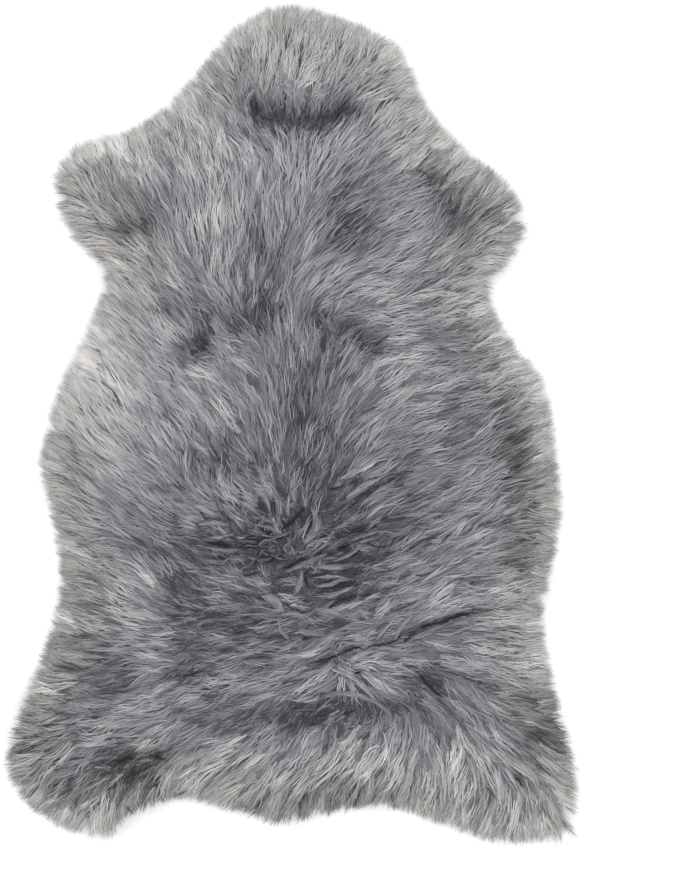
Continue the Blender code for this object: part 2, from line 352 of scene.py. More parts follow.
# How the wool was combed: each stroke runs over these places in turn, in mm, as the tips point.
STROKES = (
    # Neck.
    ((12, 366), (20, 400), (28, 434)),
    ((-35, 365), (-28, 420), (-40, 470)),
    ((20, 365), (45, 410), (60, 465)),
    ((-60, 350), (-75, 410), (-90, 450)),
    ((-85, 355), (-140, 415)),
    ((60, 355), (125, 410)),
    ((60, 290), (135, 345), (175, 375)),
    # Withers.
    ((-5, 290), (-45, 330)),
    ((15, 285), (50, 335)),
    # Chest and forelegs.
    ((-30, 125), (-12, 180), (0, 265)),
    ((-65, 125), (-62, 200), (-68, 280), (-95, 345)),
    ((-95, 120), (-120, 200), (-145, 285), (-170, 350)),
    ((-110, 110), (-165, 165), (-195, 240), (-235, 300)),
    ((-45, 95), (-95, 118), (-150, 165), (-205, 205), (-255, 240)),
    ((-170, 150), (-230, 190), (-265, 235)),
    ((5, 135), (40, 165)),
    ((10, 180), (45, 222), (75, 280)),
    ((60, 230), (110, 246)),
    ((45, 190), (110, 218), (150, 255), (205, 310)),
    ((60, 245), (105, 268), (165, 330)),
    ((40, 145), (90, 160), (150, 185), (195, 230), (240, 280)),
    ((150, 160), (200, 185), (255, 220)),
    ((165, 140), (245, 160)),
    # Back, ribs and flanks.
    ((-2, -100), (0, -20), (0, 60), (-2, 118)),
    ((18, -95), (30, -40), (35, 10), (62, 62)),
    ((30, -95), (60, -72)),
    ((38, 70), (18, 105)),
    ((45, -60), (68, -15), (95, 10)),
    ((80, -45), (130, -10), (165, 0)),
    ((75, 15), (150, 42), (215, 55), (265, 72)),
    ((45, 70), (95, 94), (160, 92), (215, 104), (265, 118)),
    ((60, -95), (130, -68), (205, -38), (280, 0)),
    ((120, -30), (190, -8), (275, 30)),
    ((15, -138), (75, -122), (150, -92), (230, -60), (290, -42)),
    ((90, -145), (150, -118), (200, -88)),
    ((215, -135), (290, -130)),
    ((-20, -75), (-35, -20), (-65, 35)),
    ((-20, -95), (-50, -70)),
    ((-72, -95), (-92, -55), (-105, -10), (-150, 45), (-205, 105)),
    ((-115, -95), (-160, -62), (-210, -10), (-260, 40)),
    ((-170, -95), (-215, -60), (-275, -5)),
    ((-230, -90), (-290, -62)),
    ((-70, 55), (-130, 95), (-190, 150)),
    ((-100, 15), (-160, 75), (-215, 130)),
    # Loin and waist.
    ((-25, -132), (-85, -132), (-140, -118), (-190, -75)),
    ((-190, -145), (-270, -122)),
    ((-40, -190), (-80, -178), (-120, -145), (-160, -105)),
    ((-160, -205), (-205, -175), (-275, -155)),
    ((25, -178), (-30, -182)),
    ((-20, -165), (25, -148)),
    ((-50, -243), (-130, -243), (-215, -240), (-280, -220)),
    # Rump.
    ((70, -232), (10, -250), (-50, -252)),
    ((65, -278), (-15, -318)),
    ((-25, -290), (-100, -310), (-170, -325)),
    # Hind legs, tail and hem.
    ((-110, -280), (-170, -300), (-240, -303), (-295, -298)),
    ((80, -315), (15, -362), (-30, -410)),
    ((-10, -335), (-70, -375), (-115, -420)),
    ((-60, -330), (-120, -362), (-165, -420)),
    ((-120, -338), (-190, -368), (-245, -400)),
    ((-185, -350), (-260, -358)),
    ((-255, -330), (-305, -380)),
    ((-150, -385), (-195, -415), (-225, -440)),
    ((-225, -395), (-250, -445)),
    ((-260, -375), (-300, -430)),
    # Loin and waist.
    ((30, -186), (65, -182), (110, -165), (160, -135), (205, -108)),
    ((195, -188), (285, -178)),
    # Rump.
    ((70, -258), (115, -245), (165, -212)),
    # Loin and waist.
    ((165, -240), (235, -243), (290, -250)),
    # Rump.
    ((72, -280), (110, -292), (145, -320)),
    ((80, -258), (141, -250), (190, -244)),
    ((105, -262), (141, -266), (170, -283)),
    # Hind legs, tail and hem.
    ((140, -272), (190, -312)),
    ((190, -288), (255, -308), (310, -318)),
    ((205, -335), (245, -375)),
    ((235, -345), (295, -385)),
    ((285, -350), (298, -395)),
    ((125, -330), (105, -375), (65, -425)),
    ((165, -330), (165, -375), (150, -430)),
    ((190, -380), (178, -435)),
    ((228, -395), (220, -445)),
    ((275, -390), (285, -445)),
)

# Where the wool is lighter or darker than the rest: painted shade along a parting, where it lies low,
# and over a broad patch partly the wool's own faded tone and partly painted light and shade.
Shade = namedtuple("Shade", "x0_mm y0_mm x1_mm y1_mm reach_mm tone sunk_mm")
SHADES = (
    # Neck.
    Shade(-38, 342, -16, 334, 13, -0.48, 3),
    Shade(-16, 334, 22, 330, 12, -0.54, 3),
    Shade(22, 330, 56, 338, 13, -0.48, 2),
    Shade(60, 334, 82, 330, 12, -0.14, 0),
    Shade(-5, 395, 20, 400, 34, 0.09, -1),
    Shade(120, 412, 196, 312, 26, 0.38, 0),
    Shade(-115, 377, -205, 332, 26, 0.16, 0),
    # Chest and forelegs.
    Shade(-200, 300, -150, 290, 26, 0.16, 0),
    Shade(-87, 309, -87, 219, 34, 0.16, -1),
    Shade(-174, 212, -164, 214, 18, -0.26, 2),
    Shade(-146, 238, -130, 232, 20, -0.10, 0),
    Shade(-258, 240, -255, 250, 12, -0.06, 0),
    Shade(-262, 296, -220, 322, 20, 0.24, 0),
    Shade(52, 218, 62, 250, 28, -0.30, 1),
    Shade(60, 190, 60, 204, 22, -0.14, 0),
    Shade(-32, 200, -34, 129, 22, -0.22, 1),
    Shade(110, 330, 130, 290, 26, 0.14, 0),
    Shade(150, 274, 182, 204, 16, -0.22, 2),
    Shade(246, 262, 260, 232, 14, -0.16, 0),
    Shade(-130, 160, -164, 62, 38, 0.08, 0),
    # Loin and waist.
    Shade(206, -184, 212, -192, 24, 0.09, 0),
    # Withers.
    Shade(-102, 82, -94, 88, 15, -0.46, 3),
    Shade(-130, 128, -92, 122, 15, -0.24, 2),
    Shade(-46, 110, -28, 118, 20, -0.38, 2),
    Shade(30, 112, 90, 88, 13, -0.32, 2),
    # Back, ribs and flanks.
    Shade(108, 130, 122, 5, 24, 0.14, 0),
    Shade(-216, 106, -196, 0, 40, 0.15, 0),
    Shade(-222, 0, -190, -60, 36, 0.10, 0),
    # Chest and forelegs.
    Shade(218, 140, 252, 85, 20, 0.34, 0),
    # Back, ribs and flanks.
    Shade(258, 70, 292, 5, 20, 0.36, 0),
    Shade(16, 40, 18, -85, 36, -0.28, 1),
    Shade(-100, 40, -96, 10, 26, 0.14, 0),
    Shade(-86, -52, -78, -48, 24, -0.30, 1),
    Shade(120, -10, 210, -12, 50, -0.12, 0),
    Shade(236, -20, 250, -160, 20, -0.18, 0),
    # Loin and waist.
    Shade(-132, -136, -40, -134, 26, -0.20, 2),
    Shade(-25, -130, 65, -170, 34, -0.20, 1),
    Shade(-36, -150, -10, -160, 18, -0.14, 0),
    Shade(-16, -176, -10, -180, 10, -0.14, 0),
    Shade(2, -197, 14, -202, 11, -0.14, 0),
    Shade(94, -203, 106, -200, 11, -0.10, 0),
    Shade(82, -122, 112, -110, 36, -0.16, 0),
    Shade(-90, -172, -50, -190, 26, -0.12, 1),
    # Rump.
    Shade(-112, -198, -106, -265, 24, -0.30, 2),
    Shade(-47, -230, 43, -236, 22, -0.12, 0),
    # Loin and waist.
    Shade(-190, -272, -180, -270, 24, -0.20, 1),
    Shade(-176, -194, -166, -190, 30, 0.10, -1),
    Shade(-256, -170, -250, -250, 14, -0.04, 0),
    Shade(234, -198, 257, -254, 24, 0.14, 0),
    # Rump.
    Shade(140, -284, 150, -280, 16, -0.38, 3),
    Shade(66, -266, 96, -262, 18, 0.10, -1),
    Shade(-87, -325, 43, -320, 17, -0.26, 2),
    Shade(43, -318, 130, -308, 14, -0.18, 1),
    # Hind legs, tail and hem.
    Shade(-115, -384, 9, -384, 24, 0.18, 0),
    Shade(43, -366, 200, -372, 26, 0.24, 0),
    Shade(-190, -380, -178, -378, 24, -0.44, 3),
    Shade(-296, -350, -290, -340, 24, -0.24, 1),
    Shade(274, -342, 282, -330, 26, -0.20, 1),
    Shade(240, -424, 290, -430, 26, 0.20, 0),
    Shade(292, -322, 312, -360, 16, -0.08, 0),
    Shade(-318, -310, -318, -390, 14, -0.16, 0),
    Shade(-58, -426, 8, -430, 12, -0.20, 0),
    Shade(44, -408, 88, -412, 12, -0.18, 0),
    # Chest and forelegs.
    Shade(-250, 292, -256, 215, 14, -0.16, 0),
    # Hind legs, tail and hem.
    Shade(-250, -430, -215, -440, 22, 0.18, 0),
)

# How the wool lies: tousled and part upright where the comb turned or missed it, and in deeper or
# shallower relief than the rest, from the sleek neck to the rumpled loin.
Lie = namedtuple("Lie", "x_mm y_mm reach_mm tousled relief")
LIES = (
    # Neck.
    Lie(0, 420, 95, 0.0, -0.55),
    Lie(10, 352, 34, 0.5, 0.1),
    # Chest and forelegs.
    Lie(40, 250, 130, 0.0, -0.30),
    Lie(-150, 260, 70, 0.0, -0.10),
    # Withers.
    Lie(-60, 110, 50, 0.3, 0.2),
    Lie(-90, 88, 30, 0.7, 0.2),
    Lie(60, 100, 40, 0.4, 0.1),
    # Back, ribs and flanks.
    Lie(-190, 30, 100, 0.0, -0.38),
    Lie(-75, -55, 36, 0.6, 0.1),
    # Loin and waist.
    Lie(-12, -128, 62, 1.0, 0.2),
    Lie(0, -140, 130, 0.2, 0.60),
    Lie(-95, -150, 50, 0.5, 0.1),
    Lie(60, -190, 46, 0.7, 0.2),
    # Rump.
    Lie(72, -280, 30, 0.2, 0.2),
    Lie(-100, -250, 50, 0.4, 0.1),
    Lie(60, -325, 44, 0.6, 0.3),
    # Hind legs, tail and hem.
    Lie(-190, -376, 32, 0.8, 0.1),
    Lie(-250, -350, 80, 0.1, 0.60),
    Lie(160, -280, 60, 0.2, 0.15),
    Lie(60, -385, 110, 0.0, 0.35),
    Lie(-90, -385, 80, 0.0, 0.25),
    Lie(260, -360, 80, 0.0, 0.35),
    # Loin and waist.
    Lie(-220, -240, 70, 0.0, 0.30),
    # Chest and forelegs.
    Lie(175, 245, 30, 0.3, 0.0),
)

# The slits where locks lie apart, over these places, in mm. The wool is pushed aside from each, and
# its dark is painted shadow: near-black strands laid along it.
Slit = namedtuple("Slit", "width_mm points")
SLITS = (
    # Neck.
    Slit(3, ((-48, 362), (-43, 352), (-36, 344))),
    Slit(3, ((-36, 343), (-26, 341), (-14, 338))),
    Slit(3, ((34, 342), (46, 346), (58, 354))),
    Slit(2, ((-39, 324), (-30, 309), (-23, 301))),
    # Chest and forelegs.
    Slit(2, ((138, 282), (159, 276), (178, 268))),
    Slit(2, ((-160, 188), (-154, 174))),
    Slit(2, ((-39, 238), (-36, 254))),
    # Withers.
    Slit(3, ((-118, 82), (-108, 82), (-98, 85), (-90, 91))),
    Slit(3, ((-106, 90), (-101, 106))),
    Slit(2, ((20, 114), (34, 106), (46, 101), (54, 92))),
    Slit(3, ((65, 92), (85, 82), (110, 78))),
    # Back, ribs and flanks.
    Slit(2, ((-151, -69), (-138, -77))),
    Slit(2, ((223, 20), (242, 28))),
    Slit(2, ((167, -25), (184, -20), (197, -17))),
    Slit(3, ((240, -57), (249, -43))),
    Slit(3, ((208, -114), (220, -109), (231, -107))),
    Slit(3, ((193, -179), (208, -172))),
    # Loin and waist.
    Slit(3, ((-232, -262), (-216, -262), (-200, -260))),
    Slit(2, ((-131, -163), (-118, -179))),
    # Hind legs, tail and hem.
    Slit(2, ((-221, -303), (-194, -305))),
    # Rump.
    Slit(4, ((-120, -278), (-106, -276), (-94, -272))),
    Slit(3, ((-101, -298), (-84, -303))),
    # Hind legs, tail and hem.
    Slit(2, ((-281, -310), (-262, -320), (-242, -322))),
    Slit(5, ((-204, -382), (-190, -374), (-171, -370))),
    Slit(4, ((-160, -368), (-135, -374))),
    Slit(4, ((-190, -397), (-168, -386), (-152, -378))),
    Slit(3, ((-163, -409), (-145, -397))),
    Slit(2, ((-134, -420), (-112, -406))),
    Slit(2, ((-185, -426), (-178, -438))),
    # Rump.
    Slit(6, ((69, -278), (77, -273))),
    Slit(4, ((54, -324), (66, -320), (77, -314))),
    Slit(3, ((-10, -288), (17, -280))),
    # Hind legs, tail and hem.
    Slit(3, ((20, -336), (35, -330))),
    Slit(3, ((175, -273), (204, -285), (234, -291))),
    Slit(6, ((142, -278), (152, -288), (169, -304))),
    Slit(3, ((272, -340), (275, -352))),
    Slit(4, ((249, -389), (258, -402))),
    Slit(2, ((215, -401), (227, -415))),
    # Loin and waist.
    Slit(6, ((15, -92), (6, -103), (-5, -112), (-12, -117))),
    Slit(6, ((-10, -162), (0, -156), (9, -152), (22, -149))),
    Slit(3, ((-22, -140), (-14, -135))),
    Slit(3, ((-14, -129), (0, -124), (10, -120))),
    Slit(4, ((-38, -89), (-30, -91), (-26, -96))),
    Slit(3, ((-21, -84), (-20, -94), (-21, -106))),
    Slit(4, ((-54, -169), (-42, -167), (-30, -163))),
    Slit(3, ((-66, -186), (-50, -189), (-31, -190), (-18, -186), (-1, -183), (7, -179))),
    Slit(5, ((14, -169), (17, -180), (23, -184))),
    Slit(4, ((15, -169), (18, -164), (25, -160))),
    Slit(4, ((18, -168), (34, -167), (50, -166))),
    Slit(3, ((20, -175), (36, -173), (50, -170))),
    Slit(3, ((-106, -92), (-100, -99), (-94, -105), (-80, -106), (-62, -107))),
    Slit(5, ((-96, -130), (-84, -132), (-72, -135), (-60, -134))),
    Slit(3, ((-94, -122), (-86, -123))),
    Slit(4, ((-82, -147), (-73, -149))),
    Slit(3, ((-66, -116), (-60, -124), (-62, -134))),
    Slit(3, ((-108, -185), (-92, -187))),
    Slit(3, ((-96, -164), (-88, -168))),
    Slit(3, ((-104, -208), (-87, -211), (-78, -213), (-69, -216))),
    Slit(3, ((-71, -210), (-63, -208))),
    Slit(4, ((26, -186), (37, -183), (47, -181), (60, -179), (68, -175), (78, -172))),
    Slit(3, ((51, -164), (60, -167), (72, -165), (84, -163))),
    Slit(5, ((38, -203), (47, -201), (54, -196), (63, -193), (71, -189), (78, -183))),
    Slit(3, ((73, -191), (82, -189), (92, -182))),
    Slit(4, ((26, -147), (35, -140), (42, -134))),
    Slit(7, ((49, -140), (58, -138), (68, -134))),
    Slit(4, ((40, -145), (50, -143))),
    Slit(4, ((50, -129), (56, -127), (63, -123), (74, -116), (85, -108))),
    Slit(3, ((82, -125), (92, -122), (103, -121))),
    Slit(4, ((84, -132), (92, -135), (100, -136), (112, -133))),
    Slit(3, ((90, -114), (101, -113))),
    Slit(3, ((91, -112), (102, -108), (118, -105), (134, -104))),
    Slit(3, ((50, -155), (58, -152), (72, -149), (86, -145))),
    Slit(3, ((80, -154), (94, -150), (104, -145))),
    Slit(3, ((104, -147), (116, -142))),
    Slit(3, ((128, -139), (139, -134), (146, -131))),
    Slit(3, ((138, -168), (150, -167), (158, -163))),
    # Back, ribs and flanks.
    Slit(4, ((60, -96), (70, -88), (82, -77), (91, -70), (105, -64), (118, -58))),
    Slit(4, ((38, -72), (50, -72), (60, -67))),
    Slit(3, ((69, -70), (74, -61), (80, -55))),
    Slit(3, ((40, -88), (40, -100))),
    Slit(4, ((32, -126), (39, -121))),
    Slit(3, ((122, -88), (139, -84), (150, -78), (163, -74))),
    Slit(2, ((146, -86), (162, -79))),
    Slit(2, ((160, -70), (170, -67), (184, -62))),
    Slit(2, ((158, -105), (172, -98))),
    Slit(3, ((166, -131), (176, -121))),
    # Rump.
    Slit(3, ((-6, -198), (-2, -205), (8, -207))),
    Slit(3, ((13, -196), (23, -199))),
    Slit(3, ((-51, -215), (-42, -216), (-33, -216))),
    Slit(3, ((-67, -226), (-52, -227), (-42, -229), (-30, -233))),
    Slit(3, ((-33, -242), (-25, -237), (-16, -234), (-6, -238), (4, -240))),
    Slit(4, ((12, -238), (25, -237))),
    Slit(3, ((-4, -251), (6, -247), (14, -244))),
    Slit(3, ((-54, -260), (-40, -260), (-31, -258), (-17, -261))),
    Slit(3, ((20, -223), (35, -224), (43, -225), (50, -223), (60, -220), (68, -215))),
    Slit(3, ((24, -212), (33, -212))),
    Slit(3, ((-104, -225), (-92, -223), (-76, -220))),
    Slit(3, ((-102, -250), (-88, -251), (-76, -250), (-62, -252), (-48, -253))),
    Slit(5, ((14, -266), (26, -264), (37, -261), (54, -255), (63, -251), (72, -248), (84, -249))),
    Slit(4, ((80, -248), (92, -246), (109, -244), (117, -240), (123, -234), (127, -227))),
    Slit(4, ((124, -242), (130, -237), (136, -233), (142, -231))),
    Slit(9, ((144, -228), (153, -222), (168, -220), (175, -215), (186, -212), (204, -208))),
)

# Locks that lie over the rest where the wool was rumpled, each from its root to its tip, in mm.
Lock = namedtuple("Lock", "width_mm tone points")
LOCKS = (
    # Loin and waist.
    Lock(9, 0.10, ((12, -136), (22, -123), (28, -112), (28, -102), (21, -92))),
    Lock(4, 0.08, ((-38, -132), (-38, -121), (-40, -108))),
    Lock(6, 0.08, ((-27, -108), (-36, -98), (-46, -91), (-60, -86))),
    Lock(5, 0.02, ((-10, -122), (-20, -116), (-30, -112), (-44, -112))),
    Lock(5, 0.00, ((-4, -122), (-12, -110), (-16, -98), (-16, -84))),
    # Back, ribs and flanks.
    Lock(5, 0.06, ((-24, -100), (-26, -86), (-33, -76), (-44, -71))),
    Lock(4, 0.04, ((-14, -100), (-14, -86), (-22, -72), (-30, -60))),
    # Loin and waist.
    Lock(6, 0.04, ((-8, -166), (6, -159), (20, -153), (40, -142))),
    Lock(6, 0.04, ((6, -149), (20, -141), (30, -131), (42, -122))),
    Lock(4, 0.04, ((12, -152), (24, -144), (34, -136), (44, -129))),
    Lock(3, 0.16, ((3, -148), (3, -141), (0, -135))),
    Lock(3, 0.10, ((-7, -148), (-6, -141), (-9, -135))),
    Lock(5, -0.04, ((-4, -152), (-16, -150), (-26, -144), (-36, -142))),
    Lock(5, 0.02, ((-26, -134), (-32, -146), (-42, -158), (-56, -162))),
    Lock(5, 0.00, ((-22, -128), (-34, -124), (-46, -126), (-58, -128))),
    Lock(5, 0.02, ((-24, -138), (-36, -136), (-48, -134), (-58, -140))),
    Lock(5, -0.02, ((-20, -118), (-28, -122), (-36, -118), (-50, -118))),
    Lock(5, 0.02, ((-14, -112), (-26, -108), (-34, -104), (-46, -102))),
    Lock(5, 0.00, ((-12, -144), (-24, -150), (-38, -152), (-50, -148))),
    Lock(5, 0.04, ((-14, -132), (-22, -128), (-30, -130), (-40, -138))),
    Lock(4, 0.02, ((0, -118), (-8, -124), (-18, -126), (-28, -132))),
    Lock(6, 0.00, ((-60, -146), (-74, -152), (-88, -154), (-100, -150))),
    Lock(5, 0.02, ((-58, -124), (-70, -124), (-82, -127), (-96, -125))),
    Lock(5, 0.10, ((-66, -111), (-80, -110), (-92, -111), (-104, -112))),
    Lock(6, 0.10, ((-80, -102), (-90, -99), (-98, -93), (-108, -88))),
    Lock(5, 0.04, ((-50, -139), (-66, -141), (-82, -141), (-100, -136))),
    Lock(5, 0.02, ((-50, -122), (-56, -114), (-66, -100), (-76, -90))),
    Lock(6, 0.04, ((34, -134), (46, -122), (60, -110), (78, -99))),
    # Back, ribs and flanks.
    Lock(6, 0.08, ((58, -84), (72, -76), (86, -67), (104, -57))),
    # Loin and waist.
    Lock(4, 0.06, ((44, -153), (60, -148), (72, -140), (80, -128))),
    Lock(4, 0.05, ((60, -132), (72, -126), (84, -121), (100, -117))),
    Lock(10, 0.05, ((-36, -184), (-24, -192), (-13, -199), (-7, -209))),
    Lock(6, 0.05, ((3, -190), (9, -182), (12, -173), (12, -162))),
    Lock(4, 0.05, ((20, -171), (36, -170), (50, -168), (64, -171))),
    Lock(4, 0.04, ((24, -180), (40, -178), (54, -174), (70, -170))),
    Lock(5, 0.02, ((26, -191), (44, -190), (58, -187), (70, -182))),
    Lock(5, 0.04, ((24, -160), (40, -160), (56, -158), (74, -155))),
    # Rump.
    Lock(4, 0.02, ((-12, -214), (-15, -223), (-10, -232), (0, -240))),
    Lock(4, 0.05, ((-14, -213), (-4, -209), (8, -210), (22, -214))),
    Lock(5, 0.04, ((34, -232), (22, -232), (10, -230), (0, -232))),
    Lock(5, 0.02, ((94, -243), (98, -234), (104, -226), (114, -216))),
    Lock(5, 0.02, ((110, -242), (118, -232), (124, -222), (136, -212))),
    Lock(6, 0.06, ((43, -273), (60, -277), (78, -290), (97, -311))),
    Lock(5, 0.05, ((30, -306), (48, -299), (70, -299), (92, -308), (112, -326))),
    Lock(5, 0.04, ((44, -272), (30, -274), (12, -279), (-8, -289))),
    Lock(5, 0.03, ((84, -262), (100, -263), (120, -268), (142, -280))),
    # Neck.
    Lock(7, 0.06, ((-34, 378), (-50, 364), (-50, 346), (-42, 330), (-32, 312))),
    Lock(5, 0.04, ((-26, 352), (-34, 362), (-44, 378), (-52, 400))),
    # Rump.
    Lock(6, 0.06, ((96, -254), (84, -254), (72, -258), (60, -266))),
)

STRANDS = 46500  # over the skin, and more along its edge
STRAND_WIDTH = 0.00112
STRAND_WIDTHS = (0.7, 1.3)  # as shares of that
SLEEK_WIDER = 0.4
STRAND_REACH = 0.030  # from root to tip, over the floor
STRAND_REACHES = (0.85, 1.12)
CROWN = 0.11  # how far a strand's ridge stands over its sides, as a share of its width
TAPER = np.array([0.8, 1.0, 0.8])
LOWEST = 0.0012  # over the floor
ALONG = np.array([0.0, 0.24, 0.64, 1.0])  # where a strand has its rings, and its tip
COMB_REACH = 0.016  # how far to its side one stroke of the comb is felt
USUAL_RELIEF = 0.9

# How clumps, the tufts in them, the wisps in those and single strands differ from one another:
# in degrees, in how high or low they lie, in tone and in the waves along them.
Spread = namedtuple("Spread", "spacing turn height tone wave")
CLUMP = Spread(spacing=0.025, turn=5, height=0.0024, tone=0.055, wave=0)
TUFT = Spread(spacing=0.0120, turn=6, height=0.0020, tone=0.065, wave=0.0015)
WISP = Spread(spacing=0.0040, turn=5, height=0.0022, tone=0.064, wave=0.0012)
STRAND = Spread(spacing=0, turn=2.5, height=0.0007, tone=0.010, wave=0.0005)
WAVES = (0.3, 1.4)  # the weakest and strongest wave of a tuft or wisp, as shares
STRAND_WAVES = (0.2, 1.3)
TUFT_REACHES = 0.14
WISP_REACHES = (0.80, 1.20)
TUFT_BEND = 12
STRAND_BEND = 8
LEAST_BEND = 0.01
STRAND_ROLL = 9
CLUMP_TONES, TUFT_TONES, WISP_TONES = (-1.8, 1.4), (-2.2, 1.6), (-2.2, 1.5)  # the ends of their tones
TUFT_CURL, STRAND_CURL = 5.2, 8.5  # radians of wave from root to tip

# Wholly tousled wool differs by this much more, is shorter, and starts behind its roots.
TOUSLED_TUFT_TURN = 22
TOUSLED_TUFT_BEND = 75
TOUSLED_STRAND_TURN = 11
TOUSLED_WISP_TURN = 2
TOUSLED_WISP_TONE = 0.5
TOUSLED_LIFT = 0.6
TOUSLED_SHORTER = 0.35
TOUSLED_SETBACK = 0.5
TOUSLED_ROOTS = 0.7
DENSELY_TOUSLED = 0.45  # from here on it is rooted twice as densely
SURELY_COMBED = 0.7  # under this the strokes disagree, and the wool is tousled
UNSURE_TOUSLE = 0.8

# How much lower the sides of each lie than its middle, and how far out they can lie, as a share.
LOCK_HOLLOW, LOCK_SIDE = 0.0040, 1.4
CLUMP_HOLLOW, CLUMP_SIDE = 0.0026, 1.3
WISP_HOLLOW, WISP_SLEEK = 0.0017, 0.15
WISP_GATHER, LOCK_GATHER, CLUMP_GATHER = 0.36, 0.34, 0.08  # of the way to their middles, at the tips
RIM_GATHER = 0.45
RIM_GATHER_WIDTH = 0.03

# At the skin's edge the wool turns outward and is denser, its thin fringe is painted paler as painted light,
# and it ends near the pelt's outline.
RIM_TURN = 0.5
RIM_TURN_WIDTH = 0.024
RIM_BAND = 0.012  # inside the skin's edge, where the wool is rooted twice as densely
RIM_ROOTS = -0.005
RIM_RAGGED = 0.003
RIM_REACHES = (0.012, 0.050)
RIM_SHARES = (0.72, 1.0)
GRAZING = 0.15  # the least share of a strand's reach that counts as outward
PARTED_SHORTER = 0.55
PARTED_DEPTH = 0.006

SLIT_HALF = 0.4  # of a slit's stated width, to each side
SLIT_BANK = 0.0050  # the width of a slit's banks, which its strands are pushed up onto
SLIT_DEPTH = 0.0045
SLIT_FULL = 0.002  # a slit whose half width is less than this is shallower
LEAST_COVER = 0.0016  # of long wool over the under-wool
BURIED = 0.003  # how far under the under-wool's surface the roots lie

USUAL_TONE = 0.402
DARKEST_TONE = 0.075  # of the long wool
DARKEST_TONES = 0.02
# Painted shade: the wool's tone is darkened where it lies lower in the pile.
HOLLOW_SHADE_TONE = 46.0  # how much darker the wool is for each metre that it lies lower
# Painted shade on the strands over a slit's banks, darker the nearer they lie to it.
SLIT_BANK_SHADE = 0.24
# Painted light: strands near the rim are painted paler, where the thin wool looks bright.
RIM_PAINTED_LIGHT = 0.12  # the wool is paler by this towards the rim, where it is thin
RIM_PAINTED_LIGHT_WIDTH = 0.028
SHADE_OF_STRAND = 0.2  # the rest of its shade is its wisp's
SHADED_WISPS = (0.35, 1.75)  # how much of a dark patch's shade its wisps take
SHADED_STRANDS = 0.16
SHADED_WISP_TONE = 3
SLEEK_TONES, ROUGH_TONES = 0.45, 0.62
BANDS = 40  # of tone, side by side on the wool's own map
BAND_MARGIN, TIP_MARGIN = 0.1, 0.03
WARM_WIDTH, WARM_SHARE = 0.06, 0.8  # of strands near the rim, whose dye has turned a warmer grey

# The strands laid along a lock or in a slit. Each starts and ends somewhere along its line. A lock's
# lie light on the rest, and a slit's are painted shadow: near-black strands laid between its banks.
LAID_STRANDS = 330000  # to each square metre of a line's half width and length
Laid = namedtuple("Laid", "half fewest density shortest longest spread drift low")
IN_LOCK = Laid(0.5, fewest=4, density=1.0, shortest=0.016, longest=0.026, spread=0.55, drift=0.5, low=0.0024)
IN_SLIT_SHADOW = Laid(0.30, fewest=2, density=0.8, shortest=0.007, longest=0.016, spread=0.45, drift=0.8, low=0)
LAID_LIFT = 0.0012
SLIT_LIFT, SLIT_LIFTS = 0.0030, (0.1, 1.0)
LINE_JITTER = 0.8  # mm
LAID_WAVE, LAID_CURL = 0.0008, 7
LAID_WIDTHS = (0.7, 1.2)
LAID_ROLL = 14
LAID_BURIED = 0.005
# Painted shade: a laid lock's strands are darker towards its lower sides.
LOCK_SIDE_SHADE, LOCK_TONES, LOCK_SHADE = 0.13, 0.085, 0.8
# Painted shadow: the near-black tones of a slit's strands, paler in a slit narrower than THIN_SLIT.
SLIT_SHADOW_TONES, THIN_SLIT_SHADOW_TONE, THIN_SLIT = (0.0, 0.03), 0.025, 5
WOOL_NAMES = ("wool_neck", "wool_shoulders", "wool_ribs", "wool_loin", "wool_rump", "wool_hem")

draw = np.random.default_rng(21)


def scattered(spacing):
    """Places strewn evenly over the skin, and a little past its edge, at about this spacing."""
    columns = np.arange(cad_low.x, cad_high.x, spacing)
    rows = np.arange(cad_low.y, cad_high.y, spacing)
    grid = np.stack(np.meshgrid(columns, rows), axis=-1).reshape(-1, 2)
    return grid + draw.uniform(-0.5, 0.5, grid.shape) * spacing


def nearest_of(centres, places):
    """The index of the centre nearest to each place."""
    tree = KDTree(len(centres))
    for index, (x, y) in enumerate(centres):
        tree.insert((x, y, 0.0), index)
    tree.balance()
    return np.array([tree.find((x, y, 0.0))[1] for x, y in places])


def squared_gap(places, start, run):
    """The squared distance from each place to a straight run from this start."""
    share = ((places - start) @ run / (run @ run)).clip(0, 1)
    return ((places - start - share[:, None] * run) ** 2).sum(axis=1)


def combed(places):
    """The unit direction in which the wool's tips point at each place, and how sure it is."""
    pull, total = np.zeros((len(places), 2)), np.zeros(len(places))
    for stroke in STROKES:
        points = np.array(stroke) * MM
        for start, stop in zip(points, points[1:]):
            run = stop - start
            gap = squared_gap(places, start, run)
            weight = np.exp(-gap / (2 * COMB_REACH**2)) + 1e-9 / (gap + 1e-4)
            pull += weight[:, None] * run / np.linalg.norm(run)
            total += weight
    strength = np.linalg.norm(pull, axis=1)
    return pull / (strength[:, None] + 1e-12), strength / total


def shade_at(places):
    """How much lighter the wool is at each place, partly its own tone and partly painted light and shade,
    and how much lower it lies.
    """
    tone, sunk = np.zeros(len(places)), np.zeros(len(places))
    for row in SHADES:
        start = np.array([row.x0_mm, row.y0_mm]) * MM
        run = np.array([row.x1_mm, row.y1_mm]) * MM - start
        fall = np.exp(-squared_gap(places, start, run) / (row.reach_mm * MM) ** 2)
        tone += row.tone * fall
        sunk = np.where(np.abs(row.sunk_mm * MM * fall) > np.abs(sunk), row.sunk_mm * MM * fall, sunk)
    return tone, sunk


